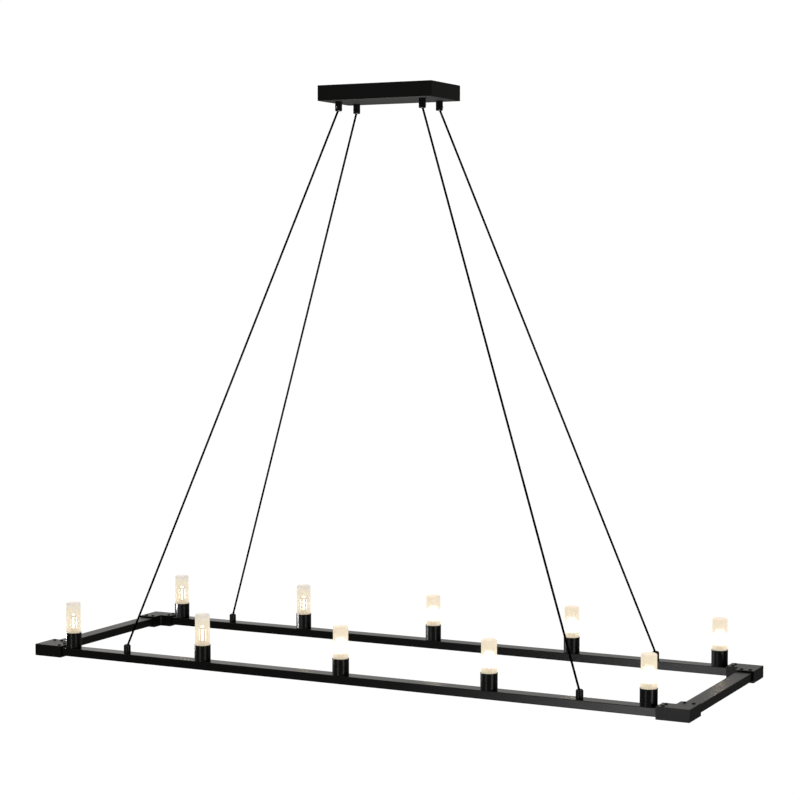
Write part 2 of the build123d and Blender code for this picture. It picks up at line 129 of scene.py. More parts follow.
STRIP_BORDER = 0.5 * MM
RIDGE_RISE = 1.1 * MM
RIDGE_STEPS = 8
CAP_LIGHT_RADIUS = 3.4 * MM
CAP_LIGHT_HEIGHT = 4.0 * MM
CAP_LIGHT_FOOT_ROUND = 0.2 * MM
CAP_LIGHT_DOME_SHARE = 0.85     # of the cap light's radius
CAP_LIGHT_STEPS = 8
CAP_LIGHT_SEGMENTS = 32
PIN_SPACING = 9.0 * MM
PIN_WIDTH = 2.3 * MM
PIN_WIRE = 0.45 * MM
PIN_LENGTH = 8.0 * MM
PIN_SUNK = 0.5 * MM             # how far its ends reach up into the base
PIN_STEPS = 8
PIN_SIDES = 10

CABLE_RADIUS = 2.1 * MM
CABLE_SIDES = 20
CABLE_STEPS = 12                # points of the line for each of the spline's stretches
GRIP_X = 90.0 * MM
GRIP_Y = 37.5 * MM
CABLE_TOP = -45.3 * MM
FERRULE_X = 480.0 * MM
FERRULE_Y = 200.4 * MM
CABLE_FOOT = -1099.2 * MM

# The camera: where the photograph was taken from, worked out from the frame. It
# is turned by the yaw and tilted down by the pitch, both in degrees.
CAMERA_PLACE = (1.7910, -3.5240, -0.3541)
CAMERA_YAW = 26.63
CAMERA_PITCH = -3.674
FOCAL_PIXELS = 2033.5
IMAGE_PIXELS = 800
SENSOR_MM = 36.0
FAR_CLIP = 200.0

# The studio. Softboxes: name, place, the point it faces, width, height, watts,
# and whether only the cups receive it. The camera looks down on the frame, so
# the frame's upright faces mirror what is low.
FRAME_MIDDLE = (0, 0, -1.1)
SOFTBOXES = (
    ("front_strip", (-0.60, -3.6, -1.75), FRAME_MIDDLE, 0.5, 1.1, 6.0, False),
    ("right_strip", (3.4, -1.6, -1.75), FRAME_MIDDLE, 0.3, 1.1, 9.0, False),
    ("left_strip", (-1.05, -0.05, -1.1), (-0.3, 0.2, -1.1), 0.06, 0.4, 16.0, True),
    ("canopy_fill", (0, 0, -0.75), (0, 0, 0), 0.5, 0.25, 8.5, False),
)
# Where the studio's walls are bright in reflections: the direction, the cosines
# between which a patch rises, and its level outside and inside.
STUDIO_PATCHES = (
    ((-0.45, 0.88, 0.15), 0.6, 0.95, 0.0, 0.45),
    ((-0.85, 0.52, 0.1), 0.8, 1.0, 0.04, 0.5),
    ((0.0, 0.0, 1.0), 0.3, 1.0, 0.0, 0.5),
)
STUDIO_COLOUR = (1.0, 0.985, 0.96, 1.0)
BACKDROP_LEVEL = 1.03
FLOOR_SHADE = 0.22
FLOOR_HEIGHT = -2.4
FLOOR_SIZE = 60.0
FLOOR_PARTS = 4


# ---------------------------------------------------------------- node helpers
class Shader:
    """The node tree of a material or of the world, with short calls for nodes and links."""

    def __init__(self, name, world=False):
        self.owner = (bpy.data.worlds if world else bpy.data.materials).new(name)
        self.owner.use_nodes = True
        self.tree = self.owner.node_tree
        self.tree.nodes.clear()
        self.output = self.node("ShaderNodeOutputWorld" if world else "ShaderNodeOutputMaterial")

    def node(self, kind, **values):
        made = self.tree.nodes.new(kind)
        for key, value in values.items():
            setattr(made, key, value)
        return made

    def feed(self, socket, value):
        """A socket takes a link from another socket, or else a plain value."""
        if isinstance(value, bpy.types.NodeSocket):
            self.tree.links.new(value, socket)
        else:
            socket.default_value = value

    def put(self, node, **inputs):
        """Set inputs by name, with underscores for spaces."""
        for key, value in inputs.items():
            self.feed(node.inputs[key.replace("_", " ")], value)
        return node

    def surface(self, shader):
        self.feed(self.output.inputs["Surface"], shader)

    def principled(self, **inputs):
        self.surface(self.put(self.node("ShaderNodeBsdfPrincipled"), **inputs).outputs[0])

    def coordinates(self, kind="Object"):
        return self.node("ShaderNodeTexCoord").outputs[kind]

    def axis(self, name, kind="Object"):
        made = self.node("ShaderNodeSeparateXYZ")
        self.feed(made.inputs[0], self.coordinates(kind))
        return made.outputs[name]

    def noise(self, scale, detail=4.0, roughness=0.5):
        made = self.node("ShaderNodeTexNoise")
        self.put(made, Scale=scale, Detail=detail, Roughness=roughness, Vector=self.coordinates())
        return made.outputs["Fac"]

    def remap(self, value, low, high, start=0.0, end=1.0, kind="LINEAR"):
        made = self.node("ShaderNodeMapRange", interpolation_type=kind)
        self.put(made, Value=value, From_Min=start, From_Max=end, To_Min=low, To_Max=high)
        return made.outputs["Result"]

    def around(self, value, middle, below, above):
        """From a little below a middle value to a little above it."""
        return self.remap(value, middle - below, middle + above)

    def math(self, operation, *values):
        made = self.node("ShaderNodeMath", operation=operation)
        for socket, value in zip(made.inputs, values):
            self.feed(socket, value)
        return made.outputs[0]

    def mix_colour(self, factor, a, b):
        made = self.node("ShaderNodeMix", data_type="RGBA")
        for index, value in ((0, factor), (6, a), (7, b)):
            self.feed(made.inputs[index], value)
        return made.outputs[2]

    def join(self, kind, *sources):
        """Shaders mixed or added: for a mix, the factor comes first."""
        made = self.node(kind)
        for socket, source in zip(made.inputs, sources):
            self.feed(socket, source)
        return made.outputs[0]

    def bump(self, height, strength, distance, normal=None):
        made = self.node("ShaderNodeBump")
        self.put(made, Height=height, Strength=strength, Distance=distance)
        if normal is not None:
            self.put(made, Normal=normal)
        return made.outputs["Normal"]

    def soft_edges(self, radius):
        """Rounds sharp edges for the light, as a coating does."""
        return self.put(self.node("ShaderNodeBevel", samples=4), Radius=radius).outputs["Normal"]

    def ramp(self, value, stops):
        made = self.node("ShaderNodeValToRGB")
        ramp = made.color_ramp
        ramp.interpolation = "EASE"
        while len(ramp.elements) < len(stops):
            ramp.elements.new(1.0)
        for element, (place, colour) in zip(ramp.elements, stops):
            element.position = place
            element.color = (*colour, 1.0)
        self.feed(made.inputs["Fac"], value)
        return made.outputs["Color"]

    def seen(self):
        """1 where it is looked at, straight or through glass, and 0 for light and reflections."""
        rays = self.node("ShaderNodeLightPath").outputs
        return self.math("MAXIMUM", rays["Is Camera Ray"], rays["Is Transmission Ray"])


def grey(value):
    return (value, value, value, 1.0)


def tinted(shade, red, green, blue):
    return (shade * red, shade * green, shade * blue, 1.0)


# ---------------------------------------------------------------- materials
# Noise scales are in waves per metre. Each bump is a strength and a distance in
# metres. Rounded edges are in metres too.
COAT_PEEL, COAT_PEEL_BUMP = 700.0, (0.12, 0.00015)
COAT_GRIT, COAT_GRIT_BUMP = 3200.0, (0.1, 0.00006)
COAT_CLOUD = 6.0
COAT_TINT = (1.55, 1.5, 1.45)
COAT_SPREAD = (0.05, 0.07)      # roughness below and above its middle

TURNED_RINGS, TURNED_RING_BUMP = 2600.0, (0.08, 0.00012)
TURNED_GRAIN, TURNED_GRAIN_BUMP = 2600.0, (0.06, 0.0001)
TURNED_CLOUD = 40.0
TURNED_TINT = (1.4, 1.35, 1.3)
TURNED_SPREAD = (0.05, 0.08)
TURNED_EDGE = 0.0004

PLATED_PATCHES = 260.0
PLATED_STREAKS, PLATED_STREAK_BUMP = 1500.0, (0.15, 0.0001)
PLATED_DULL = 0.72
PLATED_TINT = (1.0, 1.01, 1.03)
PLATED_SPREAD = (0.08, 0.12)
PLATED_EDGE = 0.0003

WEAVE_ROUND = 12.0              # threads round the cable
WEAVE_ALONG = 700.0             # threads in a metre of it
WEAVE_BUMP = (0.4, 0.0002)
WEAVE_FUZZ, WEAVE_FUZZ_BUMP = 4200.0, (0.2, 0.0001)
WEAVE_DARK, WEAVE_PALE = 0.0004, 0.002
WEAVE_ROUGHNESS = (0.65, 0.85)
WEAVE_SPECULAR = 0.04

RUBBER_GRAIN, RUBBER_GRAIN_BUMP = 1800.0, (0.2, 0.0001)
RUBBER_CLOUD = 60.0
RUBBER_TINT = 1.3
RUBBER_ROUGHNESS = (0.55, 0.75)

SILICONE_CLOUD, SILICONE_BUMP = 300.0, (0.1, 0.0002)
SILICONE_DEEP, SILICONE_PALE = (0.70, 0.68, 0.64, 1.0), (0.82, 0.80, 0.76, 1.0)
SILICONE_ROUGHNESS = (0.35, 0.5)
SILICONE_MILKINESS = 0.3

CERAMIC_SPECKS, CERAMIC_SPECK_EDGE = 900.0, (0.68, 0.74)
CERAMIC_CLOUD, CERAMIC_BUMP = 90.0, (0.15, 0.0004)
CERAMIC_DEEP, CERAMIC_PALE = (0.80, 0.78, 0.73, 1.0), (0.88, 0.86, 0.82, 1.0)
CERAMIC_SPECK = (0.45, 0.43, 0.40, 1.0)
CERAMIC_ROUGHNESS = (0.22, 0.38)
CERAMIC_EDGE = 0.0004

NYLON_GRAIN, NYLON_GRAIN_BUMP = 1200.0, (0.12, 0.0001)
NYLON_CLOUD = 50.0
NYLON_DEEP, NYLON_PALE = (0.74, 0.73, 0.68, 1.0), (0.82, 0.81, 0.77, 1.0)
NYLON_ROUGHNESS = (0.4, 0.55)
NYLON_EDGE = 0.0005


def coated_steel(name, shade, roughness, rounding=0.3 * MM):
    """Powder coat: a fine orange peel, a little grit and a cloudy shade."""
    s = Shader(name)
    peel = s.noise(COAT_PEEL, detail=2.0)
    grit = s.noise(COAT_GRIT, detail=1.0)
    cloud = s.noise(COAT_CLOUD, detail=5.0, roughness=0.6)
    normal = s.bump(peel, *COAT_PEEL_BUMP, s.soft_edges(rounding))
    normal = s.bump(grit, *COAT_GRIT_BUMP, normal)
    s.principled(
        Base_Color=s.mix_colour(cloud, grey(shade), tinted(shade, *COAT_TINT)),
        Roughness=s.around(cloud, roughness, *COAT_SPREAD),
        Normal=normal,
    )
    return s.owner


def turned_black(name, shade, roughness):
    """Turned and blackened metal: faint rings left by the tool, and a satin sheen."""
    s = Shader(name)
    made = s.node("ShaderNodeTexNoise", noise_dimensions="1D")
    s.put(made, W=s.math("MULTIPLY", s.axis("Z"), TURNED_RINGS), Scale=1.0, Detail=3.0)
    rings = made.outputs["Fac"]
    cloud = s.noise(TURNED_CLOUD)
    normal = s.bump(rings, *TURNED_RING_BUMP, s.soft_edges(TURNED_EDGE))
    normal = s.bump(s.noise(TURNED_GRAIN, detail=1.0), *TURNED_GRAIN_BUMP, normal)
    s.principled(
        Base_Color=s.mix_colour(cloud, grey(shade), tinted(shade, *TURNED_TINT)),
        Roughness=s.around(rings, roughness, *TURNED_SPREAD),
        Normal=normal,
    )
    return s.owner


def plated_steel(name, shade, roughness):
    """Plated fasteners: brushed streaks and small dull patches."""
    s = Shader(name)
    patches = s.noise(PLATED_PATCHES, detail=5.0)
    streaks = s.noise(PLATED_STREAKS, detail=2.0)
    s.principled(
        Base_Color=s.mix_colour(patches, grey(shade * PLATED_DULL), tinted(shade, *PLATED_TINT)),
        Metallic=1.0,
        Roughness=s.around(patches, roughness, *PLATED_SPREAD),
        Normal=s.bump(streaks, *PLATED_STREAK_BUMP, s.soft_edges(PLATED_EDGE)),
    )
    return s.owner


def woven_sheath(name):
    """Black cable sheath with a fine two-way weave that follows the cable."""
    s = Shader(name)
    round_it = s.math("MULTIPLY", s.axis("X", "UV"), WEAVE_ROUND)
    along = s.math("MULTIPLY", s.axis("Y", "UV"), WEAVE_ALONG)
    one, other = (
        s.math("SINE", s.math("MULTIPLY", s.math(way, round_it, along), 2 * math.pi))
        for way in ("ADD", "SUBTRACT")
    )
    weave = s.remap(s.math("MULTIPLY", one, other), 0.0, 1.0, -1.0, 1.0)
    fuzz = s.noise(WEAVE_FUZZ, detail=2.0)
    s.principled(
        Base_Color=s.mix_colour(weave, grey(WEAVE_DARK), grey(WEAVE_PALE)),
        Roughness=s.remap(fuzz, *WEAVE_ROUGHNESS),
        Normal=s.bump(fuzz, *WEAVE_FUZZ_BUMP, s.bump(weave, *WEAVE_BUMP)),
        Specular_IOR_Level=WEAVE_SPECULAR,
    )
    return s.owner


def plain_rubber(name, shade):
    """Matt insulation with a fine grain."""
    s = Shader(name)
    grain = s.noise(RUBBER_GRAIN, detail=3.0)
    s.principled(
        Base_Color=s.mix_colour(s.noise(RUBBER_CLOUD), grey(shade), grey(shade * RUBBER_TINT)),
        Roughness=s.remap(grain, *RUBBER_ROUGHNESS),
        Normal=s.bump(grain, *RUBBER_GRAIN_BUMP),
    )
    return s.owner


def silicone(name):
    """Cloudy, slightly translucent silicone."""
    s = Shader(name)
    cloud = s.noise(SILICONE_CLOUD)
    s.principled(
        Base_Color=s.mix_colour(cloud, SILICONE_DEEP, SILICONE_PALE),
        Roughness=s.remap(cloud, *SILICONE_ROUGHNESS),
        Normal=s.bump(cloud, *SILICONE_BUMP),
        Subsurface_Weight=SILICONE_MILKINESS,
    )
    return s.owner


def glazed_ceramic(name):
    """White steatite with a thin glaze and a few grey specks."""
    s = Shader(name)
    specks = s.remap(s.noise(CERAMIC_SPECKS, detail=2.0), 1.0, 0.0, *CERAMIC_SPECK_EDGE)
    cloud = s.noise(CERAMIC_CLOUD)
    body = s.mix_colour(cloud, CERAMIC_DEEP, CERAMIC_PALE)
    s.principled(
        Base_Color=s.mix_colour(specks, CERAMIC_SPECK, body),
        Roughness=s.remap(cloud, *CERAMIC_ROUGHNESS),
        Normal=s.bump(cloud, *CERAMIC_BUMP, s.soft_edges(CERAMIC_EDGE)),
    )
    return s.owner


def nylon(name):
    """Natural nylon with a moulded grain."""
    s = Shader(name)
    grain = s.noise(NYLON_GRAIN, detail=3.0)
    s.principled(
        Base_Color=s.mix_colour(s.noise(NYLON_CLOUD), NYLON_DEEP, NYLON_PALE),
        Roughness=s.remap(grain, *NYLON_ROUGHNESS),
        Normal=s.bump(grain, *NYLON_GRAIN_BUMP, s.soft_edges(NYLON_EDGE)),
    )
    return s.owner


# The glow of the glass from its foot (0) to its top (1): the cup's rim lies at
# 0.12, the lights inside run from 0.25 to 0.58 and the tip of the bulb is at 0.71.
# Some lamps burn brighter than the others.
SOFT_GLOW = (
    (0.00, (0.05, 0.04, 0.03)),
    (0.12, (0.46, 0.39, 0.28)),
    (0.23, (0.60, 0.51, 0.37)),
    (0.40, (0.58, 0.50, 0.37)),
    (0.56, (0.57, 0.50, 0.38)),
    (0.70, (0.55, 0.49, 0.37)),
    (0.83, (0.53, 0.48, 0.38)),
    (1.00, (0.45, 0.42, 0.39)),
)
BRIGHT_GLOW = (
    (0.00, (0.05, 0.04, 0.03)),
    (0.12, (0.47, 0.40, 0.29)),
    (0.21, (0.62, 0.53, 0.38)),
    (0.33, (1.00, 0.92, 0.85)),
    (0.53, (1.00, 0.92, 0.85)),
    (0.63, (0.58, 0.51, 0.38)),
    (0.83, (0.56, 0.49, 0.36)),
    (1.00, (0.55, 0.47, 0.36)),
)
EDGE_GLOW = 0.10                # more glow where the glass turns away
GLASS_IOR = 1.25
GLASS_FROST, GLASS_FROST_BUMP = 5200.0, (0.02, 0.0001)
GLASS_CLOUD, GLASS_GLOW_SPREAD = 70.0, (0.97, 1.03)
GLASS_DEEP, GLASS_PALE = (0.48, 0.45, 0.42, 1.0), (0.54, 0.51, 0.48, 1.0)
GLASS_ROUGHNESS = (0.12, 0.18)
GLASS_CLEARNESS = 0.35          # the share of light that passes straight into the glass
GLASS_SPECULAR = 0.2
RIPPLE, RIPPLE_BUMP = 120.0, (0.05, 0.0003)
RIPPLE_DEEP, RIPPLE_PALE = (0.97, 0.96, 0.94, 1.0), (0.99, 0.98, 0.97, 1.0)
RIPPLE_ROUGHNESS = (0.03, 0.07)

CHIP_ROWS = 11.0                # rows of chips up a strip
CHIP_LOW, CHIP_EDGE = 0.6, (0.1, 0.35)
CHIP_WARM, CHIP_PALE = (1.0, 0.90, 0.74, 1.0), (1.0, 0.94, 0.84, 1.0)
PHOSPHOR = (0.9, 0.8, 0.4, 1.0)

COVER_RIPPLE, COVER_RIPPLE_BUMP = 220.0, (0.08, 0.0004)
COVER_IOR = 1.35
COVER_SHINE, COVER_ROUGHNESS = 0.9, 0.12
COVER_DEEP, COVER_PALE = (0.95, 0.94, 0.91, 1.0), (0.99, 0.98, 0.96, 1.0)
COVER_EDGE = (0.6, 0.59, 0.57, 1.0)
COVER_HAZE = (1.0, 0.95, 0.86, 1.0)
HAZE_STARTS = (0.18, 0.36)      # shares of the cover's height
HAZE_ENDS = (0.84, 0.98)
HAZE_LEFT = 0.3                 # the share that is left at the tip, and at the edges


def frosted_glass(name, glow):
    """Acid-frosted glass that scatters the light of the bulb inside it."""
    s = Shader(name)
    profile = s.ramp(s.axis("Z", "Generated"), glow)
    frost = s.noise(GLASS_FROST, detail=2.0)
    cloud = s.noise(GLASS_CLOUD, detail=3.0)
    walls = s.put(s.node("ShaderNodeLayerWeight"), Blend=0.25)
    edge = s.math("MULTIPLY", walls.outputs["Facing"], EDGE_GLOW)
    s.principled(
        Base_Color=s.mix_colour(cloud, GLASS_DEEP, GLASS_PALE),
        Roughness=s.remap(frost, *GLASS_ROUGHNESS),
        IOR=GLASS_IOR,
        Specular_IOR_Level=GLASS_SPECULAR,
        Transmission_Weight=GLASS_CLEARNESS,
        Normal=s.bump(frost, *GLASS_FROST_BUMP),
        Emission_Color=profile,
        Emission_Strength=s.math("ADD", s.remap(cloud, *GLASS_GLOW_SPREAD), edge),
    )
    return s.owner


def smooth_glass(name):
    """The smooth inside of the glass, with a very faint ripple from drawing it."""
    s = Shader(name)
    ripple = s.noise(RIPPLE, detail=2.0)
    s.principled(
        Base_Color=s.mix_colour(ripple, RIPPLE_DEEP, RIPPLE_PALE),
        Roughness=s.remap(ripple, *RIPPLE_ROUGHNESS),
        IOR=GLASS_IOR,
        Transmission_Weight=1.0,
        Normal=s.bump(ripple, *RIPPLE_BUMP),
    )
    return s.owner


def light_strip(name, strength):
    """Lit phosphor, or its paler border: the light dips a little between rows of chips."""
    s = Shader(name)
    height = s.math("MULTIPLY", s.axis("Z", "Generated"), CHIP_ROWS)
    chips = s.remap(s.math("PINGPONG", height, 0.5), CHIP_LOW, 1.0, *CHIP_EDGE)
    s.principled(
        Base_Color=PHOSPHOR,
        Roughness=0.5,
        Emission_Color=s.mix_colour(chips, CHIP_WARM, CHIP_PALE),
        Emission_Strength=s.math("MULTIPLY", chips, strength),
    )
    s.owner.cycles.emission_sampling = "NONE"
    return s.owner


def clear_cover(name, haze):
    """Clear plastic with a faint shine, and a haze of light in a bright lamp."""
    s = Shader(name)
    ripple = s.noise(COVER_RIPPLE, detail=2.0)
    shine = s.put(
        s.node("ShaderNodeBsdfGlossy"), Color=grey(COVER_SHINE), Roughness=COVER_ROUGHNESS,
        Normal=s.bump(ripple, *COVER_RIPPLE_BUMP),
    )
    walls = s.put(s.node("ShaderNodeLayerWeight"), Blend=0.3)
    rim = s.math("POWER", walls.outputs["Facing"], 3.0)
    tint = s.mix_colour(ripple, COVER_DEEP, COVER_PALE)
    clear = s.put(s.node("ShaderNodeBsdfTransparent"), Color=s.mix_colour(rim, tint, COVER_EDGE))
    facing = s.put(s.node("ShaderNodeFresnel"), IOR=COVER_IOR)
    plastic = s.join("ShaderNodeMixShader", facing.outputs[0], clear.outputs[0], shine.outputs[0])
    height = s.axis("Z", "Generated")
    start = s.remap(height, 0.0, haze, *HAZE_STARTS)
    end = s.remap(height, 1.0, HAZE_LEFT, *HAZE_ENDS)
    level = s.math("MULTIPLY", s.math("MULTIPLY", start, end), s.remap(rim, 1.0, HAZE_LEFT))
    glow = s.put(s.node("ShaderNodeEmission"), Color=COVER_HAZE, Strength=level)
    s.surface(s.join("ShaderNodeAddShader", plastic, glow.outputs[0]))
    s.owner.cycles.emission_sampling = "NONE"
    return s.owner


# ---------------------------------------------------------------- mesh helpers
def round_corners(points, radii, steps=5):
    """A closed profile with each corner that has a radius turned into an arc."""
    made = []
    count = len(points)
    for index, (point, radius) in enumerate(zip(points, radii)):
        corner = Vector(point)
        if radius <= 0:
            made.append(corner)
            continue
        back = (Vector(points[index - 1]) - corner).normalized()
        ahead = (Vector(points[(index + 1) % count]) - corner).normalized()
        half_angle = back.angle(ahead) / 2
        reach = radius / math.tan(half_angle)
        centre = corner + (back + ahead).normalized() * (radius / math.sin(half_angle))
        first = corner + back * reach - centre
        sweep = first.angle_signed(corner + ahead * reach - centre)
        for step in range(steps + 1):
            turn = -sweep * step / steps
            across = Vector((
                first.x * math.cos(turn) - first.y * math.sin(turn),
                first.x * math.sin(turn) + first.y * math.cos(turn),
            ))
            made.append(centre + across)
    return made


def finish_mesh(name, bm, *materials, sharp=SHARP_ANGLE):
    """The mesh of a bmesh, with its faces turned outward and shaded smooth."""
    bmesh.ops.recalc_face_normals(bm, faces=bm.faces)
    mesh = bpy.data.meshes.new(name)
    bm.to_mesh(mesh)
    bm.free()
    mesh.shade_smooth()
    mesh.set_sharp_from_angle(angle=math.radians(sharp))
    for material in materials:
        mesh.materials.append(material)
    return mesh


def lathe(name, profile, *materials, segments=SEGMENTS, outside=None):
    """A closed profile of (radius, height) turned about the Z axis.

    Where outside is given, the profile's stretches from that number on are the
    inside, and have the second material.
    """
    bm = bmesh.new()
    rings = []
    for radius, height in profile:
        if radius < TINY:
            rings.append([bm.verts.new((0, 0, height))])
            continue
        angles = [2 * math.pi * step / segments for step in range(segments)]
        places = [(radius * math.cos(a), radius * math.sin(a), height) for a in angles]
        rings.append([bm.verts.new(place) for place in places])
    for index, ring in enumerate(rings):
        following = rings[(index + 1) % len(rings)]
        for step in range(segments):
            four = (
                ring[step % len(ring)], ring[(step + 1) % len(ring)],
                following[(step + 1) % len(following)], following[step % len(following)],
            )
            corners = [v for n, v in enumerate(four) if v not in four[:n]]
            if len(corners) > 2:
                face = bm.faces.new(corners)
                face.material_index = int(outside is not None and index >= outside)
    return finish_mesh(name, bm, *materials)


def prism(name, outline, low, high, material, bevel):
    """An outline of (x, y) carried from low to high, with its ends bevelled."""
    bm = bmesh.new()
    foot = [bm.verts.new((x, y, low)) for x, y in outline]
    top = [bm.verts.new((x, y, high)) for x, y in outline]
    bm.faces.new(foot)
    bm.faces.new(top)
    for index in range(len(outline)):
        following = (index + 1) % len(outline)
        bm.faces.new((foot[index], foot[following], top[following], top[index]))
    ends = [e for e in bm.edges if abs(e.verts[0].co.z - e.verts[1].co.z) < TINY]
    bmesh.ops.bevel(bm, geom=ends, offset=bevel, segments=2, profile=0.5, affect="EDGES")
    return finish_mesh(name, bm, material)


def tube(name, path, radius, sides, material):
    """A round tube along a list of points, with a UV map: round it, and along it in metres."""
    aside = Vector((0.31, 0.95, 0.05))      # a direction that no path follows
    bm = bmesh.new()
    uv = bm.loops.layers.uv.new("along")
    rings = []
    travelled = [0.0]
    for index, point in enumerate(path):
        here = Vector(point)
        before = Vector(path[max(index - 1, 0)])
        after = Vector(path[min(index + 1, len(path) - 1)])
        if index:
            travelled.append(travelled[-1] + (here - before).length)
        forward = (after - before).normalized()
        side = forward.cross(aside).normalized()
        other = forward.cross(side)
        angles = [2 * math.pi * step / sides for step in range(sides)]
        rays = [math.cos(a) * side + math.sin(a) * other for a in angles]
        rings.append([bm.verts.new(here + radius * ray) for ray in rays])
    for index in range(len(rings) - 1):
        start, end = travelled[index:index + 2]
        for step in range(sides):
            following = (step + 1) % sides
            face = bm.faces.new((
                rings[index][step], rings[index][following],
                rings[index + 1][following], rings[index + 1][step],
            ))
            turns = (step, step + 1, step + 1, step)
            for loop, turn, length in zip(face.loops, turns, (start, start, end, end)):
                loop[uv].uv = (turn / sides, length)
    bm.faces.new(rings[0])
    bm.faces.new(rings[-1])
    return finish_mesh(name, bm, material, sharp=TUBE_SHARP_ANGLE)


def add_piece(name, mesh, body, place=(0, 0, 0)):
    piece = bpy.data.objects.new(name, mesh)
    piece.location = place
    bpy.context.scene.collection.objects.link(piece)
    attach(piece, body)
    return piece


# ---------------------------------------------------------------- lamps
def cup_profile():
    rim = CUP_RADIUS + CUP_BEAD
    points = [
        (CUP_HOLE, 0), (CUP_RADIUS, 0), (CUP_RADIUS, CUP_HEIGHT - CUP_RIM_HEIGHT),
        (rim, CUP_HEIGHT - CUP_RIM_HEIGHT), (rim, CUP_HEIGHT), (CUP_BORE, CUP_HEIGHT),
        (CUP_BORE, CUP_LEDGE_HEIGHT), (CUP_LEDGE, CUP_LEDGE_HEIGHT),
        (CUP_LEDGE, CUP_FLOOR), (CUP_HOLE, CUP_FLOOR),
    ]
    radii = [
        0, CUP_FOOT_ROUND, CUP_EDGE_ROUND, CUP_EDGE_ROUND, CUP_RIM_ROUND,
        CUP_LIP_ROUND, 0, CUP_EDGE_ROUND, CUP_WELL_ROUND, 0,
    ]
    return round_corners(points, radii)


def shade_profile():
    """The glass's profile, and how many of its points belong to the outside."""
    inner = GLASS_RADIUS - GLASS_WALL
    top = GLASS_HEIGHT
    outside = [(GLASS_RADIUS, 0), (GLASS_RADIUS, top), (0, top)]
    inside = [(0, top - GLASS_WALL), (inner, top - GLASS_WALL), (inner, 0)]
    lip = GLASS_WALL * GLASS_LIP_SHARE
    radii = [lip, GLASS_SHOULDER, 0, 0, GLASS_SHOULDER - GLASS_WALL, lip]
    points = round_corners(outside + inside, radii, steps=GLASS_STEPS)
    return points, len(points) // 2


def cover_profile():
    inner = BULB_RADIUS - BULB_WALL
    outside = [(BULB_RADIUS, 0), (BULB_RADIUS, COVER_HEIGHT), (0, COVER_HEIGHT)]
    inside = [(0, COVER_HEIGHT - BULB_WALL), (inner, COVER_HEIGHT - BULB_WALL), (inner, 0)]
    radii = [BULB_FOOT_ROUND, BULB_DOME, 0, 0, BULB_DOME - BULB_WALL, BULB_FOOT_ROUND]
    return round_corners(outside + inside, radii, steps=BULB_STEPS)


def collar_profile():
    points = [(0, 0), (BULB_RADIUS, 0), (BULB_RADIUS, COLLAR_HEIGHT), (0, COLLAR_HEIGHT)]
    return round_corners(points, [0, COLLAR_FOOT_ROUND, COLLAR_TOP_ROUND, 0])


def cap_light_profile():
    outer = CAP_LIGHT_RADIUS
    points = [(0, 0), (outer, 0), (outer, CAP_LIGHT_HEIGHT), (0, CAP_LIGHT_HEIGHT)]
    radii = [0, CAP_LIGHT_FOOT_ROUND, outer * CAP_LIGHT_DOME_SHARE, 0]
    return round_corners(points, radii, steps=CAP_LIGHT_STEPS)


def base_outline():
    """Oblong with round ends cut flat: the base of a two-pin bulb."""
    half_length = BASE_LENGTH / 2
    half_width = BASE_WIDTH / 2
    corners = [
        (half_length, -half_width), (half_length, half_width),
        (-half_length, half_width), (-half_length, -half_width),
    ]
    radii = [BASE_CORNER] * len(corners)
    return [tuple(p) for p in round_corners(corners, radii, steps=BASE_STEPS)]


def core_outline():
    angles = [math.radians((n + 0.5) * CORE_TURN) for n in range(CORE_FACES)]
    corners = [(CORE_SIDE * math.cos(a), CORE_SIDE * math.sin(a)) for a in angles]
    radii = [CORE_CORNER] * len(corners)
    return [tuple(p) for p in round_corners(corners, radii, steps=CORE_STEPS)]


def pin_path(side):
    """One contact: a wire loop that goes down, round and up again."""
    half = PIN_WIDTH / 2 - PIN_WIRE
    centre = side * PIN_SPACING / 2
    low = -PIN_LENGTH + PIN_WIRE + half
    path = [(centre - half, 0, PIN_SUNK)]
    for step in range(PIN_STEPS + 1):
        angle = math.pi + math.pi * step / PIN_STEPS
        path.append((centre + half * math.cos(angle), 0, low + half * math.sin(angle)))
    path.append((centre + half, 0, PIN_SUNK))
    return path


def strip_mesh(ground, chips):
    """A light strip on each face of the core: a thin board with a rounded ridge of light."""
    bm = bmesh.new()
    apothem = CORE_SIDE * math.cos(math.radians(CORE_TURN / 2))
    low = BASE_HEIGHT + COLLAR_HEIGHT + STRIP_LIFT
    half = STRIP_WIDTH / 2
    board = [(-half, 0), (half, 0), (half, STRIP_THICKNESS), (-half, STRIP_THICKNESS)]
    reach = half - STRIP_BORDER
    ridge = [(-reach, STRIP_THICKNESS / 2), (reach, STRIP_THICKNESS / 2)]
    for step in range(RIDGE_STEPS + 1):
        angle = math.pi * step / RIDGE_STEPS
        ridge.append((reach * math.cos(angle), STRIP_THICKNESS + RIDGE_RISE * math.sin(angle)))
    for index in range(CORE_FACES):
        angle = math.radians(CORE_TURN * index)
        out = Vector((math.cos(angle), math.sin(angle), 0))
        side = Vector((-out.y, out.x, 0))
        for material, outline, margin in ((0, board, 0), (1, ridge, STRIP_BORDER)):
            rings = []
            for height in (low + margin, low + STRIP_HEIGHT - margin):
                middle = out * apothem + Vector((0, 0, height))
                places = [middle + side * across + out * depth for across, depth in outline]
                rings.append([bm.verts.new(place) for place in places])
            faces = [bm.faces.new(ring) for ring in rings]
            for corner in range(len(outline)):
                following = (corner + 1) % len(outline)
                faces.append(bm.faces.new((
                    rings[0][corner], rings[0][following], rings[1][following], rings[1][corner],
                )))
            for face in faces:
                face.material_index = material
    return finish_mesh("light_strips", bm, ground, chips)


def seen_only(piece):
    """A light source that is seen but lights nothing: the glow of the glass does that."""
    piece.visible_diffuse = False
    piece.visible_glossy = False
    piece.visible_shadow = False


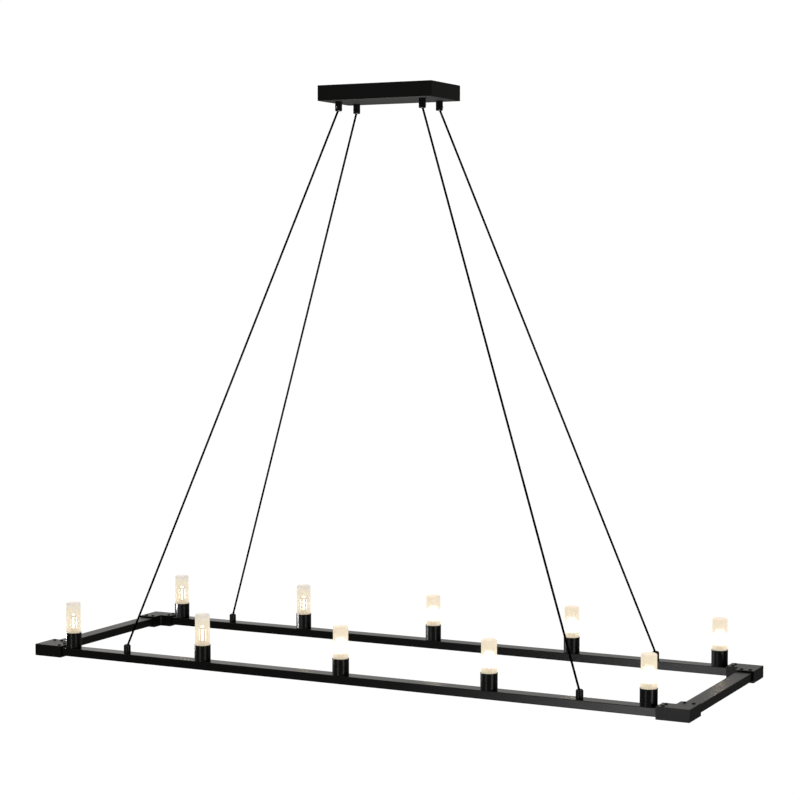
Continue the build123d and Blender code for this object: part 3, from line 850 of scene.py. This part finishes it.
def build_lamps(mats):
    floor = BASE_HEIGHT + COLLAR_HEIGHT
    core_top = floor + CORE_HEIGHT
    cup = lathe("lamp_cup", cup_profile(), mats["cup"])
    covers = [lathe("bulb_cover", cover_profile(), cover) for cover in mats["cover"]]
    collar = lathe("bulb_collar", collar_profile(), mats["ceramic"])
    base = prism("bulb_base", base_outline(), 0, BASE_HEIGHT, mats["ceramic"], BASE_BEVEL)
    core = prism("bulb_core", core_outline(), floor, core_top, mats["core"], CORE_BEVEL)
    cap_light = lathe(
        "bulb_cap_light", cap_light_profile(), mats["cap_light"], segments=CAP_LIGHT_SEGMENTS,
    )
    strips = strip_mesh(mats["strip_border"], mats["strip"])
    pins = [tube("bulb_pin", pin_path(n), PIN_WIRE, PIN_SIDES, mats["pin"]) for n in (-1, 1)]
    points, outside = shade_profile()
    glasses = [
        lathe("shade_glass", points, frosted, mats["glass_inside"], outside=outside)
        for frosted in mats["glass"]
    ]
    for number in range(1, LAMPS + 1):
        low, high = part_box(f"lamp_cup_{number:02d}")
        seat = Vector(((low[0] + high[0]) / 2, (low[1] + high[1]) / 2, low[2]))
        piece = add_piece(f"cup_{number:02d}", cup, "frame", seat)
        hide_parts(f"lamp_cup_{number:02d}")

        bright = number not in SOFT_LAMPS
        body = f"shade_{number:02d}"
        place = seat + Vector((0, 0, GLASS_FOOT))
        piece = add_piece(f"glass_{number:02d}", glasses[bright], body, place)
        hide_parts(f"shade_{number:02d}")

        body = f"bulb_{number:02d}"
        foot = seat + Vector((0, 0, HOLDER_TOP))
        parts = (
            ("base", base, 0), ("collar", collar, BASE_HEIGHT), ("core", core, 0),
            ("strips", strips, 0), ("cap_light", cap_light, core_top),
            ("cover", covers[bright], floor), ("pin_a", pins[0], 0), ("pin_b", pins[1], 0),
        )
        for part, mesh, height in parts:
            place = foot + Vector((0, 0, height))
            piece = add_piece(f"bulb_{part}_{number:02d}", mesh, body, place)
            if part == "base":
                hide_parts(body)
            if part in ("strips", "cap_light", "cover"):
                seen_only(piece)


# ---------------------------------------------------------------- cables
def spline_points(name, route):
    """Points along the smooth line that the route's points steer."""
    curve = bpy.data.curves.new(name, "CURVE")
    curve.dimensions = "3D"
    spline = curve.splines.new("NURBS")
    spline.points.add(len(route) - 1)
    for point, place in zip(spline.points, route):
        point.co = (*place, 1.0)
    spline.order_u = 3
    spline.use_endpoint_u = True
    spline.resolution_u = CABLE_STEPS
    line = bpy.data.objects.new(name, curve)
    bpy.context.scene.collection.objects.link(line)
    bpy.context.view_layer.update()
    mesh = bpy.data.meshes.new_from_object(line)
    points = [tuple(v.co) for v in mesh.vertices]
    bpy.data.objects.remove(line)
    bpy.data.curves.remove(curve)
    bpy.data.meshes.remove(mesh)
    return points


def build_cables(mats):
    """Four taut cables from the grips to the ferrules."""
    sides = ((-1, -1), (1, -1), (-1, 1), (1, 1))
    for number, (side_x, side_y) in enumerate(sides, start=1):
        top = Vector((side_x * GRIP_X, side_y * GRIP_Y, CABLE_TOP))
        foot = Vector((side_x * FERRULE_X, side_y * FERRULE_Y, CABLE_FOOT))
        path = spline_points("cable_line", (top, (top + foot) / 2, foot))
        mesh = tube(f"cable_sheath_{number}", path, CABLE_RADIUS, CABLE_SIDES, mats["cable"])
        piece = add_piece(f"cable_sheath_{number}", mesh, "canopy_group")
        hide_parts(f"cable_{number}")
        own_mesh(piece)


# ---------------------------------------------------------------- CAD nodes
def dress_nodes(mats):
    """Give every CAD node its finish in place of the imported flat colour.

    The longest name here that a node's name starts with decides.
    """
    finishes = {
        "canopy": "canopy", "long_bar": "bar", "short_bar": "end_bar",
        "corner_bracket": "bracket",
        "corner_screws": "black_screw", "canopy_side_screw": "black_screw",
        "cable_grips": "turned", "ferrules": "turned", "lamp_cup": "cup",
        "grip_set_screws": "bright_screw", "grip_nuts": "zinc", "ferrule_nuts": "zinc",
        "nipple_nuts": "zinc", "nipples": "zinc", "ceiling_strap": "zinc", "strap_screws": "zinc",
        "cable_tails": "sheath", "bar_wiring": "sheath", "cable_": "sheath",
        "seat_rings": "silicone", "lampholders": "ceramic", "terminal_block": "nylon",
        "shade": "glass_node", "bulb": "ceramic",
    }
    for name, node in frame["nodes"].items():
        key = max((k for k in finishes if name.startswith(k)), key=len)
        material = mats[finishes[key]]
        if not node.material_slots:
            node.data.materials.append(material)
        for material_slot in node.material_slots:
            material_slot.material = material


# ---------------------------------------------------------------- light and camera
def build_world():
    """White behind the object, and a dim studio to reflect: bright back left and above."""
    s = Shader("studio", world=True)
    bpy.context.scene.world = s.owner
    patches = []
    for towards, start, end, low, high in STUDIO_PATCHES:
        facing = s.node("ShaderNodeVectorMath", operation="DOT_PRODUCT")
        s.feed(facing.inputs[0], s.coordinates("Generated"))
        s.feed(facing.inputs[1], Vector(towards).normalized())
        patches.append(s.remap(facing.outputs["Value"], low, high, start, end, "SMOOTHSTEP"))
    level = s.math("ADD", s.math("ADD", patches[0], patches[1]), patches[2])
    studio = s.put(s.node("ShaderNodeBackground"), Color=STUDIO_COLOUR, Strength=level)
    backdrop = s.put(s.node("ShaderNodeBackground"), Color=grey(1.0), Strength=BACKDROP_LEVEL)
    s.surface(s.join("ShaderNodeMixShader", s.seen(), studio.outputs[0], backdrop.outputs[0]))


def build_floor():
    """A plain pale floor: as white as the backdrop to the eye, and dimmer in reflections."""
    s = Shader("floor")
    matt = s.put(s.node("ShaderNodeBsdfDiffuse"), Color=grey(FLOOR_SHADE))
    white = s.put(s.node("ShaderNodeEmission"), Color=grey(1.0), Strength=BACKDROP_LEVEL)
    s.surface(s.join("ShaderNodeMixShader", s.seen(), matt.outputs[0], white.outputs[0]))
    s.owner.cycles.emission_sampling = "NONE"
    bm = bmesh.new()
    bmesh.ops.create_grid(
        bm, x_segments=FLOOR_PARTS, y_segments=FLOOR_PARTS, size=FLOOR_SIZE / 2,
    )
    mesh = bpy.data.meshes.new("floor")
    bm.to_mesh(mesh)
    bm.free()
    mesh.materials.append(s.owner)
    floor = bpy.data.objects.new("floor", mesh)
    floor.location = (0, 0, FLOOR_HEIGHT)
    bpy.context.scene.collection.objects.link(floor)


def add_softbox(name, place, aim, width, height, power, only):
    """A rectangle of light; where only is given, it reaches just those objects, as sheen."""
    light = bpy.data.lights.new(name, "AREA")
    light.shape = "RECTANGLE"
    light.size = width
    light.size_y = height
    light.energy = power
    lamp = bpy.data.objects.new(name, light)
    lamp.location = place
    lamp.rotation_euler = (Vector(aim) - Vector(place)).to_track_quat("-Z", "Y").to_euler()
    lamp.visible_camera = False
    lamp.visible_diffuse = only is None
    lamp.visible_transmission = False
    if only is not None:
        lamp.light_linking.receiver_collection = only
    bpy.context.scene.collection.objects.link(lamp)


def build_lights():
    """Soft strips for the cups and the faces of the bars, and a fill under the canopy."""
    cups = bpy.data.collections.new("lamp_cups")
    for piece in bpy.context.scene.objects:
        if piece.name.startswith("cup_"):
            cups.objects.link(piece)
    for name, place, aim, width, height, power, for_cups in SOFTBOXES:
        add_softbox(name, place, aim, width, height, power, cups if for_cups else None)


def build_camera():
    data = bpy.data.cameras.new("camera")
    data.sensor_width = SENSOR_MM
    data.lens = FOCAL_PIXELS / IMAGE_PIXELS * SENSOR_MM
    data.clip_end = FAR_CLIP
    camera = bpy.data.objects.new("camera", data)
    camera.location = CAMERA_PLACE
    camera.rotation_euler = (math.radians(90 + CAMERA_PITCH), 0, math.radians(CAMERA_YAW))
    bpy.context.scene.collection.objects.link(camera)
    bpy.context.scene.camera = camera


# ---------------------------------------------------------------- build
# Coats, turned and plated finishes: shade, then roughness. Light strips: strength.
materials = {
    "canopy": coated_steel("canopy_coat", 0.006, 0.50),
    "bar": coated_steel("bar_coat", 0.004, 0.24, rounding=1.8 * MM),
    "end_bar": coated_steel("end_bar_coat", 0.004, 0.35, rounding=1.8 * MM),
    "bracket": coated_steel("bracket_coat", 0.004, 0.36),
    "cup": turned_black("cup_finish", 0.004, 0.27),
    "turned": turned_black("turned_finish", 0.004, 0.32),
    "black_screw": coated_steel("screw_finish", 0.008, 0.32),
    "bright_screw": plated_steel("set_screw_finish", 0.72, 0.25),
    "zinc": plated_steel("zinc_finish", 0.58, 0.38),
    "cable": woven_sheath("cable_weave"),
    "sheath": plain_rubber("inner_sheath", 0.012),
    "silicone": silicone("seat_silicone"),
    "ceramic": glazed_ceramic("ceramic"),
    "core": coated_steel("core_board", 0.22, 0.45),
    "nylon": nylon("terminal_nylon"),
    "pin": plated_steel("pin_finish", 0.75, 0.22),
    "strip": light_strip("light_chips", 13.0),
    "strip_border": light_strip("light_strip_border", 0.2),
    "cap_light": light_strip("cap_light", 6.0),
    "cover": (clear_cover("bulb_cover_clear", 0.0), clear_cover("bulb_cover_lit", 1.5)),
    "glass_inside": smooth_glass("smooth_glass"),
    "glass": (
        frosted_glass("frosted_glass_soft", SOFT_GLOW),
        frosted_glass("frosted_glass_bright", BRIGHT_GLOW),
    ),
}
materials["glass_node"] = materials["glass"][0]

build_camera()
dress_nodes(materials)
build_cables(materials)
build_lamps(materials)
build_world()
build_floor()
build_lights()
bpy.context.scene.view_settings.view_transform = "Standard"
